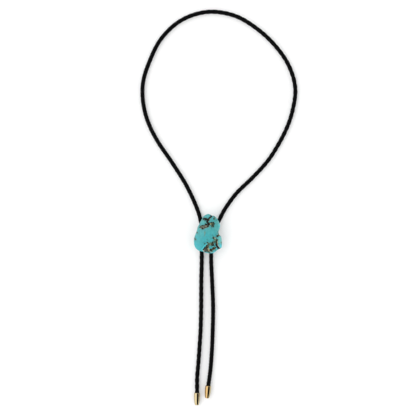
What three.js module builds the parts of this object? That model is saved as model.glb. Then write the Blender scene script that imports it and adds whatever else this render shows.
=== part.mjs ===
// A bolo tie lying flat: a turquoise nugget on a bent metal slide, a braided leather cord and two metal tips.
// Millimetres. +X is to the right, +Y up the tie, +Z out of the table. The origin is on the table, below the
// middle of the nugget.
import * as THREE from 'three';

// Cord
const CORD_DIAMETER = 4.1;
const CORD_SIDES = 10;
const CORD_TABLE_GAP = 0.12;

// Nugget
const NUGGET_WIDTH = 28.8;
const NUGGET_HEIGHT = 40.4;
const NUGGET_THICKNESS = 9.6;
const NUGGET_BACK_DEPTH = 3.4;
const NUGGET_ROUNDNESS = 2.5;

// Slide clip, bent from one strip of sheet metal
const CLIP_SHEET = 0.8;
const CLIP_LENGTH = 16;
const CLIP_CORNER = 1.7;
const CLIP_SLIT = 0.7;
const CHANNEL_SPACING = 9.8;
const CLIP_CENTRE = { x: -1.5, y: -7.5 };

// Tips
const TIP_LENGTH = 12.7;
const TIP_DIAMETER = 6.3;
const BORE_DEPTH = 6.3;
const LEFT_TIP = { mouth: { x: -11.2, y: -163.9 }, lean: -0.9 };
const RIGHT_TIP = { mouth: { x: 0.4, y: -156.8 }, lean: -5.8 };

// Clearances
const CORD_CLEARANCE = 0.3;
const BORE_END_GAP = 0.3;
const GLUE_THICKNESS = 0.2;

// Heights that follow from the sizes above
const cordRadius = CORD_DIAMETER / 2;
const cordHeight = cordRadius + CORD_TABLE_GAP;
const channelHalf = cordRadius + CORD_CLEARANCE;
const channelHeight = CLIP_SHEET + channelHalf;
const clipTop = 2 * (CLIP_SHEET + channelHalf);
const tipHeight = TIP_DIAMETER / 2;
const nuggetBack = clipTop + GLUE_THICKNESS;

// The nugget's outline seen from the front, anticlockwise from its peak, in shares of its width and height
const NUGGET_OUTLINE = [
  { x: 0.005, y: 0.5 },
  { x: -0.116, y: 0.464 },
  { x: -0.199, y: 0.398 },
  { x: -0.249, y: 0.329 },
  { x: -0.306, y: 0.252 },
  { x: -0.367, y: 0.171 },
  { x: -0.398, y: 0.088 },
  { x: -0.436, y: 0.012 },
  { x: -0.475, y: -0.063 },
  { x: -0.501, y: -0.143 },
  { x: -0.503, y: -0.218 },
  { x: -0.486, y: -0.305 },
  { x: -0.425, y: -0.383 },
  { x: -0.321, y: -0.436 },
  { x: -0.185, y: -0.455 },
  { x: -0.077, y: -0.487 },
  { x: 0.048, y: -0.5 },
  { x: 0.19, y: -0.49 },
  { x: 0.281, y: -0.446 },
  { x: 0.382, y: -0.395 },
  { x: 0.47, y: -0.36 },
  { x: 0.493, y: -0.285 },
  { x: 0.489, y: -0.182 },
  { x: 0.468, y: -0.087 },
  { x: 0.393, y: -0.017 },
  { x: 0.37, y: 0.036 },
  { x: 0.4, y: 0.11 },
  { x: 0.427, y: 0.2 },
  { x: 0.386, y: 0.299 },
  { x: 0.306, y: 0.388 },
  { x: 0.215, y: 0.45 },
  { x: 0.131, y: 0.458 },
  { x: 0.081, y: 0.482 },
];
const POINTS_PER_OUTLINE_STEP = 2;
const NUGGET_RINGS = 30;

// Creases and pits in the nugget's front: ends in shares of its width and height, half width as a share of
// its width, depth as a share of its thickness
const NUGGET_DENTS = [
  { fromX: -0.145, fromY: 0.372, toX: -0.027, toY: 0.353, half: 0.035, depth: 0.05 },
  { fromX: -0.027, fromY: 0.353, toX: 0.131, toY: 0.43, half: 0.04, depth: 0.09 },
  { fromX: -0.027, fromY: 0.353, toX: 0.005, toY: 0.232, half: 0.035, depth: 0.06 },
  { fromX: -0.33, fromY: 0.165, toX: -0.077, toY: 0.19, half: 0.06, depth: 0.07 },
  { fromX: -0.077, fromY: 0.19, toX: 0.073, toY: 0.237, half: 0.05, depth: 0.05 },
  { fromX: 0.4, fromY: 0.01, toX: 0.33, toY: -0.05, half: 0.055, depth: 0.1 },
  { fromX: 0.306, fromY: -0.15, toX: 0.306, toY: -0.26, half: 0.03, depth: 0.04 },
  { fromX: 0.325, fromY: -0.28, toX: 0.43, toY: -0.39, half: 0.04, depth: 0.09 },
  { fromX: -0.063, fromY: -0.32, toX: -0.16, toY: -0.42, half: 0.08, depth: 0.08 },
  { fromX: 0.02, fromY: -0.41, toX: 0.22, toY: -0.36, half: 0.045, depth: 0.06 },
];

// The tip's outside, from its mouth to its closed end, in shares of its length and of its radius
const TIP_PROFILE = [
  { along: 0, radius: 0.9 },
  { along: 0.02, radius: 0.94 },
  { along: 0.12, radius: 0.98 },
  { along: 0.3, radius: 1 },
  { along: 0.5, radius: 0.97 },
  { along: 0.68, radius: 0.9 },
  { along: 0.84, radius: 0.8 },
  { along: 0.94, radius: 0.71 },
  { along: 0.985, radius: 0.62 },
  { along: 1, radius: 0.5 },
];
const TIP_SIDES = 24;

// The cord's route on the table, by chosen points of its centre line. The left tail runs from the left tip
// up to the slide, the neck loop from the slide round to the slide, the right tail down to the right tip.
const LEFT_TAIL = [
  [-11.1, -148],
  [-10.1, -136],
  [-8.9, -120],
  [-7.6, -99.5],
  [-7.0, -75],
  [-6.9, -50],
  [-6.4, -28],
];
const NECK_LOOP = [
  [-7.3, 12],
  [-10.6, 23.9],
  [-21.8, 48.6],
  [-37.2, 73.3],
  [-51.3, 94],
  [-60.6, 112],
  [-66.4, 132.3],
  [-66.9, 154.9],
  [-59.9, 177.8],
  [-47.8, 200.9],
  [-27.2, 219.6],
  [-0.4, 228.1],
  [27.4, 224.2],
  [51, 210.4],
  [69.7, 192.8],
  [83.4, 172.5],
  [89.9, 149.7],
  [87.2, 126.9],
  [80.4, 106.8],
  [66.5, 81.6],
  [58.5, 70.9],
  [45.4, 56.9],
  [28.6, 40.4],
  [16.8, 23.9],
  [10.3, 11.6],
];
const RIGHT_TAIL = [
  [3.3, -28],
  [4.3, -50],
  [5.3, -75],
  [4.9, -99.5],
  [4.1, -120],
  [2.5, -140.9],
];
const TAIL_STEPS = 12;
const BEND_STEPS = 3;
const LOOP_STEPS = 46;
const BEND_SHARE = 0.027;
const TANGENT_RUN = 1.5;

const leather = new THREE.MeshStandardMaterial({ color: '#17171a', roughness: 0.45, metalness: 0 });
const turquoise = new THREE.MeshStandardMaterial({ color: '#54b0b5', roughness: 0.3, metalness: 0 });
const nickel = new THREE.MeshStandardMaterial({ color: '#b9b6ae', roughness: 0.35, metalness: 1 });
const brass = new THREE.MeshStandardMaterial({ color: '#d8bd7c', roughness: 0.22, metalness: 1 });

function named(name, geometry, material) {
  const mesh = new THREE.Mesh(geometry, material);
  mesh.name = name;
  return mesh;
}

// Distance from a point to the stretch between two others, all in the plane.
function distanceToStretch(x, y, from, to) {
  const run = to.clone().sub(from);
  const point = new THREE.Vector2(x, y).sub(from);
  const share = THREE.MathUtils.clamp(point.dot(run) / run.lengthSq(), 0, 1);
  return point.sub(run.multiplyScalar(share)).length();
}

// How far the creases and pits lower the front at a point.
function dentDepth(x, y) {
  let depth = 0;
  for (const dent of NUGGET_DENTS) {
    const from = new THREE.Vector2(dent.fromX * NUGGET_WIDTH, dent.fromY * NUGGET_HEIGHT);
    const to = new THREE.Vector2(dent.toX * NUGGET_WIDTH, dent.toY * NUGGET_HEIGHT);
    const away = distanceToStretch(x, y, from, to) / (dent.half * NUGGET_WIDTH);
    depth = Math.max(depth, dent.depth * NUGGET_THICKNESS * Math.exp(-away * away));
  }
  return depth;
}

// A sphere's grid carried onto the outline: each ring is the outline shrunk towards the middle, and the
// heights follow a superellipse, so that the faces are nearly flat and the rim is round. The back is ground
// flat at the height of the glue.
function nuggetGeometry() {
  const corners = NUGGET_OUTLINE.map((row) => new THREE.Vector3(row.x * NUGGET_WIDTH, row.y * NUGGET_HEIGHT, 0));
  const outline = new THREE.CatmullRomCurve3(corners, true, 'centripetal');
  const around = NUGGET_OUTLINE.length * POINTS_PER_OUTLINE_STEP;
  const samples = Array.from({ length: around }, (unused, index) => outline.getPoint(index / around));
  const reach = new THREE.Box3().setFromPoints(samples);
  const centre = reach.getCenter(new THREE.Vector3());
  const size = reach.getSize(new THREE.Vector3());

  const geometry = new THREE.SphereGeometry(1, around, NUGGET_RINGS);
  const position = geometry.getAttribute('position');
  const uv = geometry.getAttribute('uv');
  const girdle = nuggetBack + NUGGET_BACK_DEPTH;
  const crown = NUGGET_THICKNESS - NUGGET_BACK_DEPTH;
  for (let index = 0; index < position.count; index++) {
    const sample = samples[Math.round(uv.getX(index) * around + around) % around];
    const latitude = (uv.getY(index) - 0.5) * Math.PI;
    const shrink = Math.max(Math.cos(latitude), 0) ** (2 / NUGGET_ROUNDNESS);
    const rise = Math.abs(Math.sin(latitude)) ** (2 / NUGGET_ROUNDNESS);
    const x = ((sample.x - centre.x) / size.x) * NUGGET_WIDTH * shrink;
    const y = ((sample.y - centre.y) / size.y) * NUGGET_HEIGHT * shrink;
    const front = girdle + crown * rise - dentDepth(x, y) * rise;
    const back = Math.max(girdle - crown * rise, nuggetBack);
    position.setXYZ(index, x, y, latitude > 0 ? front : back);
  }
  geometry.computeVertexNormals();
  return geometry;
}

// Points of an arc between two angles in degrees.
function arc(centreX, centreY, radius, from, to) {
  const steps = 4;
  return Array.from({ length: steps + 1 }, (unused, index) => {
    const angle = THREE.MathUtils.degToRad(from + ((to - from) * index) / steps);
    return [centreX + radius * Math.cos(angle), centreY + radius * Math.sin(angle)];
  });
}

// The slide's section: a flat strip whose two ends curl under into a channel for each run of the cord, with a
// narrow slit left at each free edge. One half is drawn and mirrored, then carried along Y.
function clipGeometry() {
  const outer = CHANNEL_SPACING / 2 + channelHalf + CLIP_SHEET;
  const inner = CHANNEL_SPACING / 2 - channelHalf - CLIP_SHEET;
  const bore = CLIP_CORNER - CLIP_SHEET;
  const freeEdge = clipTop - CLIP_SHEET - CLIP_SLIT;
  const half = [
    [0, clipTop],
    ...arc(outer - CLIP_CORNER, clipTop - CLIP_CORNER, CLIP_CORNER, 90, 0),
    ...arc(outer - CLIP_CORNER, CLIP_CORNER, CLIP_CORNER, 0, -90),
    ...arc(inner + CLIP_CORNER, CLIP_CORNER, CLIP_CORNER, -90, -180),
    [inner, freeEdge],
    [inner + CLIP_SHEET, freeEdge],
    ...arc(inner + CLIP_CORNER, CLIP_CORNER, bore, -180, -90),
    ...arc(outer - CLIP_CORNER, CLIP_CORNER, bore, -90, 0),
    ...arc(outer - CLIP_CORNER, clipTop - CLIP_CORNER, bore, 0, 90),
    [0, clipTop - CLIP_SHEET],
  ];
  const mirrored = half.slice(1, -1).reverse().map(([across, up]) => [-across, up]);
  const section = new THREE.Shape([...half, ...mirrored].map(([across, up]) => new THREE.Vector2(across, up)));
  const geometry = new THREE.ExtrudeGeometry(section, { depth: CLIP_LENGTH, bevelEnabled: false });
  geometry.rotateX(Math.PI / 2);
  geometry.translate(0, CLIP_LENGTH / 2, 0);
  return geometry;
}

// A cup turned round Y: the blind bore for the cord, then the outside back to the axis. The mouth is at 0 and
// the closed end at minus the length.
function tipGeometry() {
  const bore = cordRadius + CORD_CLEARANCE;
  const outside = TIP_PROFILE.map((row) => [(row.radius * TIP_DIAMETER) / 2, -row.along * TIP_LENGTH]);
  const profile = [[0, -BORE_DEPTH], [bore, -BORE_DEPTH], [bore, 0], ...outside, [0, -TIP_LENGTH]];
  const points = profile.map(([radius, along]) => new THREE.Vector2(radius, along)).reverse();
  return new THREE.LatheGeometry(points, TIP_SIDES);
}

function tip(name, place) {
  const mesh = named(name, tipGeometry(), brass);
  mesh.position.set(place.mouth.x, place.mouth.y, tipHeight);
  mesh.rotation.z = THREE.MathUtils.degToRad(place.lean);
  return mesh;
}

// A point on a tip's axis, a given way below its mouth.
function alongTip(place, below) {
  const lean = THREE.MathUtils.degToRad(place.lean);
  const x = place.mouth.x + below * Math.sin(lean);
  return new THREE.Vector3(x, place.mouth.y - below * Math.cos(lean), tipHeight);
}

// A path made of stretches, each with its own number of steps, so that a ring of the tube falls exactly on
// each end of a stretch.
class SteppedPath extends THREE.Curve {
  constructor(stretches) {
    super();
    this.stretches = stretches;
    this.steps = stretches.reduce((sum, stretch) => sum + stretch.steps, 0);
  }

  getPoint(share, target = new THREE.Vector3()) {
    let step = share * this.steps;
    let index = 0;
    while (index < this.stretches.length - 1 && step > this.stretches[index].steps) {
      step -= this.stretches[index].steps;
      index += 1;
    }
    const { curve, from, to, steps } = this.stretches[index];
    return curve.getPointAt(Math.min(from + ((to - from) * step) / steps, 1), target);
  }

  getPointAt(share, target) {
    return this.getPoint(share, target);
  }

  getTangentAt(share, target) {
    return this.getTangent(share, target);
  }
}

// A smooth curve over the table between two straight runs. It leaves each run in line with it, because a
// second point close to each end lies on the run's own line.
function freeCurve(start, startAhead, points, endAhead, end) {
  const onTable = points.map(([x, y]) => new THREE.Vector3(x, y, cordHeight));
  const curve = new THREE.CatmullRomCurve3([start, startAhead, ...onTable, endAhead, end], false, 'centripetal');
  curve.arcLengthDivisions = 1200;
  return curve;
}

function whole(curve, steps) {
  return { curve, from: 0, to: 1, steps };
}

// The cord is one piece: left tip, left tail, slide, neck loop, slide, right tail, right tip.
function cordPath() {
  const insertion = BORE_DEPTH - BORE_END_GAP;
  const leftX = CLIP_CENTRE.x - CHANNEL_SPACING / 2;
  const rightX = CLIP_CENTRE.x + CHANNEL_SPACING / 2;
  const low = CLIP_CENTRE.y - CLIP_LENGTH / 2 - CORD_CLEARANCE;
  const high = CLIP_CENTRE.y + CLIP_LENGTH / 2 + CORD_CLEARANCE;
  const inClip = (x, y) => new THREE.Vector3(x, y, channelHeight);

  const leftTail = freeCurve(
    alongTip(LEFT_TIP, -CORD_CLEARANCE),
    alongTip(LEFT_TIP, -CORD_CLEARANCE - TANGENT_RUN),
    LEFT_TAIL,
    inClip(leftX, low - TANGENT_RUN),
    inClip(leftX, low),
  );
  const neckLoop = freeCurve(
    inClip(leftX, high),
    inClip(leftX, high + TANGENT_RUN),
    NECK_LOOP,
    inClip(rightX, high + TANGENT_RUN),
    inClip(rightX, high),
  );
  const rightTail = freeCurve(
    inClip(rightX, low),
    inClip(rightX, low - TANGENT_RUN),
    RIGHT_TAIL,
    alongTip(RIGHT_TIP, -CORD_CLEARANCE - TANGENT_RUN),
    alongTip(RIGHT_TIP, -CORD_CLEARANCE),
  );
  const inLeftTip = new THREE.LineCurve3(alongTip(LEFT_TIP, insertion), alongTip(LEFT_TIP, -CORD_CLEARANCE));
  const inRightTip = new THREE.LineCurve3(alongTip(RIGHT_TIP, -CORD_CLEARANCE), alongTip(RIGHT_TIP, insertion));
  return new SteppedPath([
    whole(inLeftTip, 1),
    whole(leftTail, TAIL_STEPS),
    whole(new THREE.LineCurve3(inClip(leftX, low), inClip(leftX, high)), 1),
    { curve: neckLoop, from: 0, to: BEND_SHARE, steps: BEND_STEPS },
    { curve: neckLoop, from: BEND_SHARE, to: 1 - BEND_SHARE, steps: LOOP_STEPS },
    { curve: neckLoop, from: 1 - BEND_SHARE, to: 1, steps: BEND_STEPS },
    whole(new THREE.LineCurve3(inClip(rightX, high), inClip(rightX, low)), 1),
    whole(rightTail, TAIL_STEPS),
    whole(inRightTip, 1),
  ]);
}

function cordGeometry() {
  const path = cordPath();
  const corners = Array.from({ length: CORD_SIDES }, (unused, index) => {
    const angle = (2 * Math.PI * index) / CORD_SIDES;
    return new THREE.Vector2(cordRadius * Math.cos(angle), cordRadius * Math.sin(angle));
  });
  return new THREE.ExtrudeGeometry(new THREE.Shape(corners), { steps: path.steps, extrudePath: path });
}

const boloTie = new THREE.Group();
boloTie.name = 'bolo_tie';

const slide = new THREE.Group();
slide.add(named('turquoise_nugget', nuggetGeometry(), turquoise));
const clip = named('slide_clip', clipGeometry(), nickel);
clip.position.set(CLIP_CENTRE.x, CLIP_CENTRE.y, 0);
slide.add(clip);
boloTie.add(slide);

boloTie.add(named('braided_cord', cordGeometry(), leather));
boloTie.add(tip('tip_left', LEFT_TIP), tip('tip_right', RIGHT_TIP));

export default boloTie;
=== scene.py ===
# %% [markdown]
# # A bolo tie on a white table
#
# A bolo tie is a leather cord worn round the neck, with a metal tip on each end and a slide that holds
# the two halves together. This one has a turquoise nugget on its slide. The solids come from a CAD frame,
# and this lesson dresses them: every new piece is a surface worked out with numpy, and every finish is
# made of shader nodes. All lengths are in metres, so millimetres are written with the factor MM.

# %% The frame and its sizes
import bpy
import numpy as np
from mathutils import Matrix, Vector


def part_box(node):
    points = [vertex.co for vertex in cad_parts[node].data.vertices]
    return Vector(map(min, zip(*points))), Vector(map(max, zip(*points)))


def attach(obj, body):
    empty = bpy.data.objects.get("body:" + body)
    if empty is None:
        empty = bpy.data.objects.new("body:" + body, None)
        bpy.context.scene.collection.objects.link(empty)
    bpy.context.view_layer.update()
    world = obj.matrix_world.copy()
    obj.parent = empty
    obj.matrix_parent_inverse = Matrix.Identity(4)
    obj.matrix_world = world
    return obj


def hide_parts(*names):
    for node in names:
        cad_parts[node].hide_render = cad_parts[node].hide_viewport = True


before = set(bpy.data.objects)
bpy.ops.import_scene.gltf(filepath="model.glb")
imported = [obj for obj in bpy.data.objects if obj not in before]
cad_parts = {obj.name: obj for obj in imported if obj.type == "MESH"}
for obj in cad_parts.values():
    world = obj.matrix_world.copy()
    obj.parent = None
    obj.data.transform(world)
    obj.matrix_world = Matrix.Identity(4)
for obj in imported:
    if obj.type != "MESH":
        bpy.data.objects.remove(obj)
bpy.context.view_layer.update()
MM = 0.001
NUGGET_LOW, NUGGET_HIGH = (np.array(corner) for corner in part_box("turquoise_nugget"))
CLIP_LOW, CLIP_HIGH = (np.array(corner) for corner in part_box("slide_clip"))
print("nugget in mm:", np.round((NUGGET_HIGH - NUGGET_LOW) / MM, 2))
print("slide in mm:", np.round((CLIP_HIGH - CLIP_LOW) / MM, 2))

# %% [markdown]
# ## The camera
#
# The tie was photographed from straight above. A long lens far away keeps the tall stone and the thin cord
# at one scale, as a wide lens close by would not. The height follows from similar triangles: the field's
# width is to the distance as the sensor's width is to the focal length.

# %% Camera
FIELD = 428.5 * MM
LENS = 85
SENSOR = 36
CORD_LEVEL = 2 * MM
AIM = (0.05 * MM, 26.15 * MM)

camera_data = bpy.data.cameras.new("overhead_camera")
camera_data.lens = LENS
camera_data.sensor_width = SENSOR
camera = bpy.data.objects.new("overhead_camera", camera_data)
camera.location = (*AIM, CORD_LEVEL + FIELD * LENS / SENSOR)
bpy.context.scene.collection.objects.link(camera)
bpy.context.scene.camera = camera
print("camera height in mm:", round(camera.location.z / MM, 1))

# %% [markdown]
# ## Putting a surface into a mesh
#
# Every piece here is a stack of closed rings: a tube, a turned cup or a stone is the same grid of points
# with other numbers in it. One function joins each ring to the next with quads and closes both ends with a
# fan of triangles to the ring's middle. Arrays go into the mesh with foreach_set, which is far quicker than
# adding faces one by one.

# %% From rings of points to a closed mesh
def shell(rings):
    """A closed skin over rings of points, shaped (rings, points in a ring, 3).

    Point j of ring i joins point j + 1 and ring i + 1, counted round. The middle of the first and of the
    last ring closes the ends. Returns the points, the quads and the triangles.
    """
    count, around = rings.shape[:2]
    index = np.arange(count * around).reshape(count, around)
    after = np.roll(index, -1, axis=1)
    quads = np.stack([index[:-1], after[:-1], after[1:], index[1:]], axis=-1).reshape(-1, 4)
    first, last = count * around, count * around + 1
    start = np.stack([np.full(around, first), after[0], index[0]], axis=-1)
    end = np.stack([np.full(around, last), index[-1], after[-1]], axis=-1)
    points = np.vstack([rings.reshape(-1, 3), rings[0].mean(axis=0), rings[-1].mean(axis=0)])
    return points, quads, np.vstack([start, end])


def make_piece(name, shells, material, sharp_degrees=None):
    """One object from one or more shells, shaded smooth, with edges over an angle kept sharp."""
    offsets = np.cumsum([0] + [len(points) for points, _, _ in shells])
    points = np.vstack([points for points, _, _ in shells])
    quads = np.vstack([quads + offset for (_, quads, _), offset in zip(shells, offsets)])
    triangles = np.vstack([fans + offset for (_, _, fans), offset in zip(shells, offsets)])
    totals = np.concatenate([np.full(len(quads), 4), np.full(len(triangles), 3)])
    starts = np.concatenate([[0], np.cumsum(totals)[:-1]])

    mesh = bpy.data.meshes.new(name)
    mesh.vertices.add(len(points))
    mesh.vertices.foreach_set("co", points.ravel())
    mesh.loops.add(int(totals.sum()))
    mesh.loops.foreach_set("vertex_index", np.concatenate([quads.ravel(), triangles.ravel()]))
    mesh.polygons.add(len(totals))
    mesh.polygons.foreach_set("loop_start", starts)
    mesh.polygons.foreach_set("loop_total", totals)
    mesh.polygons.foreach_set("use_smooth", np.ones(len(totals), bool))
    mesh.update(calc_edges=True)
    mesh.validate()
    if sharp_degrees is not None:
        mesh.set_sharp_from_angle(angle=np.radians(sharp_degrees))
    mesh.materials.append(material)
    piece = bpy.data.objects.new(name, mesh)
    bpy.context.scene.collection.objects.link(piece)
    print(name, "has", 2 * len(quads) + len(triangles), "triangles")
    return piece


def give_attribute(piece, name, values):
    """One number for each vertex, which the piece's material reads by name."""
    layer = piece.data.attributes.new(name, "FLOAT", "POINT")
    layer.data.foreach_set("value", values.astype(np.float32))


# %% [markdown]
# ## The cord's route
#
# A cord is a fixed length of something flexible, so its centre line is settled before its surface. A few
# listed points say where it lies. A Catmull-Rom curve passes through all of them, and its centripetal form
# makes no loops where points are close. The route goes from the left tip up through the slide, round the
# neck and back down through the slide to the right tip.

# %% The points that the cord passes
CORD_DIAMETER = 4.1 * MM
TABLE_GAP = 0.12 * MM
CORD_HEIGHT = CORD_DIAMETER / 2 + TABLE_GAP
TIP_HEIGHT = 3.15 * MM
CHANNEL_HEIGHT = (CLIP_LOW[2] + CLIP_HIGH[2]) / 2
CHANNEL_SPACING = 9.8 * MM
CLIP_MIDDLE = (CLIP_LOW[0] + CLIP_HIGH[0]) / 2
LEFT_CHANNEL = CLIP_MIDDLE - CHANNEL_SPACING / 2
RIGHT_CHANNEL = CLIP_MIDDLE + CHANNEL_SPACING / 2
CLEARANCE = 0.3 * MM
TANGENT_RUN = 1.5 * MM
TIP_BORE = 6.3 * MM

LEFT_TAIL = [(-11.1, -148), (-10.1, -136), (-8.9, -120), (-7.6, -99.5), (-7.0, -75), (-6.9, -50), (-6.4, -28)]
NECK_LOOP = [
    (-7.3, 12), (-10.6, 23.9), (-21.8, 48.6), (-37.2, 73.3), (-51.3, 94), (-60.6, 112), (-66.4, 132.3),
    (-66.9, 154.9), (-59.9, 177.8), (-47.8, 200.9), (-27.2, 219.6), (-0.4, 228.1), (27.4, 224.2),
    (51, 210.4), (69.7, 192.8), (83.4, 172.5), (89.9, 149.7), (87.2, 126.9), (80.4, 106.8), (66.5, 81.6),
    (58.5, 70.9), (45.4, 56.9), (28.6, 40.4), (16.8, 23.9), (10.3, 11.6),
]
RIGHT_TAIL = [(3.3, -28), (4.3, -50), (5.3, -75), (4.9, -99.5), (4.1, -120), (2.5, -140.9)]
TIPS = {
    "tip_left": {"mouth": (-11.2 * MM, -163.9 * MM), "lean": np.radians(-0.9)},
    "tip_right": {"mouth": (0.4 * MM, -156.8 * MM), "lean": np.radians(-5.8)},
}


def along_tip(name, below):
    """A point on a tip's axis, a given way below its mouth: the mouth plus that way along the lean."""
    mouth, lean = TIPS[name]["mouth"], TIPS[name]["lean"]
    return np.array([mouth[0] + below * np.sin(lean), mouth[1] - below * np.cos(lean), TIP_HEIGHT])


def on_table(points):
    """Given points in millimetres, at the height of a cord that lies on the table."""
    return np.column_stack([np.array(points) * MM, np.full(len(points), CORD_HEIGHT)])


# %% A smooth curve through points
def smooth_curve(points, closed=False, steps=24):
    """Centripetal Catmull-Rom curve.

    Each gap's parameter is the square root of its length. The slope at a point is the slope before it, plus
    the slope after it, less the slope across both. Between two points the curve is the cubic that has those
    places and slopes at its ends.
    """
    if closed:
        p = np.vstack([points[-1], points, points[:2]])
    else:
        p = np.vstack([2 * points[0] - points[1], points, 2 * points[-1] - points[-2]])
    gap = np.sqrt(np.linalg.norm(np.diff(p, axis=0), axis=1))[:, None]
    slope = np.diff(p, axis=0) / gap
    tangent = slope[:-1] + slope[1:] - (p[2:] - p[:-2]) / (gap[:-1] + gap[1:])
    here, there = p[1:-2, None], p[2:-1, None]
    leave, arrive = (tangent[:-1] * gap[1:-1])[:, None], (tangent[1:] * gap[1:-1])[:, None]
    t = (np.arange(steps) / steps)[None, :, None]
    curve = ((2 * t**3 - 3 * t**2 + 1) * here + (t**3 - 2 * t**2 + t) * leave
             + (3 * t**2 - 2 * t**3) * there + (t**3 - t**2) * arrive).reshape(-1, points.shape[1])
    return curve if closed else np.vstack([curve, points[-1]])


def even_steps(line, step):
    """The same line with its points a fixed step apart: places are read off against the length so far."""
    reach = np.concatenate([[0], np.cumsum(np.linalg.norm(np.diff(line, axis=0), axis=1))])
    places = np.linspace(0, reach[-1], int(round(reach[-1] / step)) + 1)
    return np.column_stack([np.interp(places, reach, column) for column in line.T]), places


# %% The centre line
low, high = CLIP_LOW[1] - CLEARANCE, CLIP_HIGH[1] + CLEARANCE
insertion = TIP_BORE - CLEARANCE


def in_clip(x, y):
    """A point on a channel's axis."""
    return np.array([x, y, CHANNEL_HEIGHT])


left_run = smooth_curve(np.vstack([
    along_tip("tip_left", -CLEARANCE), along_tip("tip_left", -CLEARANCE - TANGENT_RUN), on_table(LEFT_TAIL),
    in_clip(LEFT_CHANNEL, low - TANGENT_RUN), in_clip(LEFT_CHANNEL, low)]))
neck_run = smooth_curve(np.vstack([
    in_clip(LEFT_CHANNEL, high), in_clip(LEFT_CHANNEL, high + TANGENT_RUN), on_table(NECK_LOOP),
    in_clip(RIGHT_CHANNEL, high + TANGENT_RUN), in_clip(RIGHT_CHANNEL, high)]))
right_run = smooth_curve(np.vstack([
    in_clip(RIGHT_CHANNEL, low), in_clip(RIGHT_CHANNEL, low - TANGENT_RUN), on_table(RIGHT_TAIL),
    along_tip("tip_right", -CLEARANCE - TANGENT_RUN), along_tip("tip_right", -CLEARANCE)]))
LAY = 12.7 * MM
RINGS_PER_TURN = 20
route, distance = even_steps(np.vstack([
    along_tip("tip_left", insertion), left_run, neck_run, right_run, along_tip("tip_right", insertion)]),
    LAY / RINGS_PER_TURN)
print("cord length in mm:", round(distance[-1] / MM, 1), "in", len(route), "rings")

# %% [markdown]
# ## Nodes and colours
#
# Blender's colour sockets hold linear light, while a colour read off a screen is sRGB, so one function
# turns one into the other. The next adds a node with its settings and its links, and another blends two
# colours, which keeps each material down to a list of what it is made of.

# %% Helpers for materials
def linear(code):
    """An sRGB hex colour as linear RGBA: a short straight part, then the power 2.4."""
    srgb = np.array([int(code[place:place + 2], 16) for place in (1, 3, 5)]) / 255
    light = np.where(srgb <= 0.04045, srgb / 12.92, ((srgb + 0.055) / 1.055) ** 2.4)
    return (*light, 1.0)


def add(tree, kind, inputs=None, **settings):
    """Adds a node. settings are its properties, and inputs its sockets, each a value or what feeds it."""
    node = tree.nodes.new(kind)
    for key, value in settings.items():
        setattr(node, key, value)
    for key, value in (inputs or {}).items():
        found = next((socket for socket in node.inputs if socket.identifier == key), None)
        socket = found or node.inputs[key]
        if isinstance(value, bpy.types.NodeSocket):
            tree.links.new(value, socket)
        else:
            socket.default_value = value
    return node


def blend(tree, share, first, second):
    """The colour that lies this share of the way from the first colour to the second.

    A Mix node has an output for each data type, all of one name, so the colour is found by its identifier.
    """
    mix = add(tree, "ShaderNodeMix", {"Factor_Float": share, "A_Color": first, "B_Color": second},
              data_type="RGBA")
    return next(socket for socket in mix.outputs if socket.identifier == "Result_Color")


def new_material(name):
    """A material with its own empty tree, and that tree."""
    material = bpy.data.materials.new(name)
    material.use_nodes = True
    material.node_tree.nodes.clear()
    return material, material.node_tree


def finish_material(tree, inputs):
    """The surface itself: a Principled shader with these inputs, joined to the output."""
    shader = add(tree, "ShaderNodeBsdfPrincipled", inputs)
    add(tree, "ShaderNodeOutputMaterial", {"Surface": shader.outputs["BSDF"]})


# %% [markdown]
# ## Black braiding leather
#
# The lace is calf leather, dyed black right through and finished with wax, then braided. It is smooth with
# a fine grain, so it has a soft shine that breaks up over pores about a third of a millimetre apart.
# Leather's index of refraction is near 1.5, but these laces shine only faintly, so the specular level is
# lowered.

# %% Leather
PORE = 0.35 * MM
PORE_DEPTH = 0.08 * MM
DYE_CLOUD = 6 * MM

leather, tree = new_material("waxed_black_leather")
place = add(tree, "ShaderNodeTexCoord").outputs["Object"]
pores = add(tree, "ShaderNodeTexNoise", {"Vector": place, "Scale": 1 / PORE, "Detail": 3.0})
dye = add(tree, "ShaderNodeTexNoise", {"Vector": place, "Scale": 1 / DYE_CLOUD, "Detail": 2.0})
shade = blend(tree, dye.outputs["Fac"], linear("#020203"), linear("#060607"))
gloss = add(tree, "ShaderNodeMapRange", {"Value": pores.outputs["Fac"], "To Min": 0.36, "To Max": 0.55})
grain = add(tree, "ShaderNodeBump", {
    "Height": pores.outputs["Fac"], "Strength": 0.7, "Distance": PORE_DEPTH})
finish_material(tree, {
    "Base Color": shade, "Roughness": gloss.outputs["Result"],
    "Specular IOR Level": 0.045, "Normal": grain.outputs["Normal"]})
print("leather pores every", round(PORE / MM, 2), "mm")

# %% [markdown]
# ## The braided cord
#
# The cord is a round braid of four flat laces. Two wind round it one way and two the other way, and each
# goes over, under, over, under. A helix with a wavy radius says all of that: the angle grows with the
# distance, and the radius swells twice a turn, in step for one pair and against it for the other, so that
# wherever two laces cross one is high and the other low. The high places stand proud of the cord's nominal
# radius by CROWN, as they do on a real braid. A lace's section is a flat superellipse, bent a little so that
# it hugs the cord.

# %% The frame that travels along the cord
heading = np.gradient(route, axis=0)
heading /= np.linalg.norm(heading, axis=1, keepdims=True)
side = np.cross(heading, [0, 0, 1])
side /= np.linalg.norm(side, axis=1, keepdims=True)
lift = np.cross(side, heading)

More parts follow.
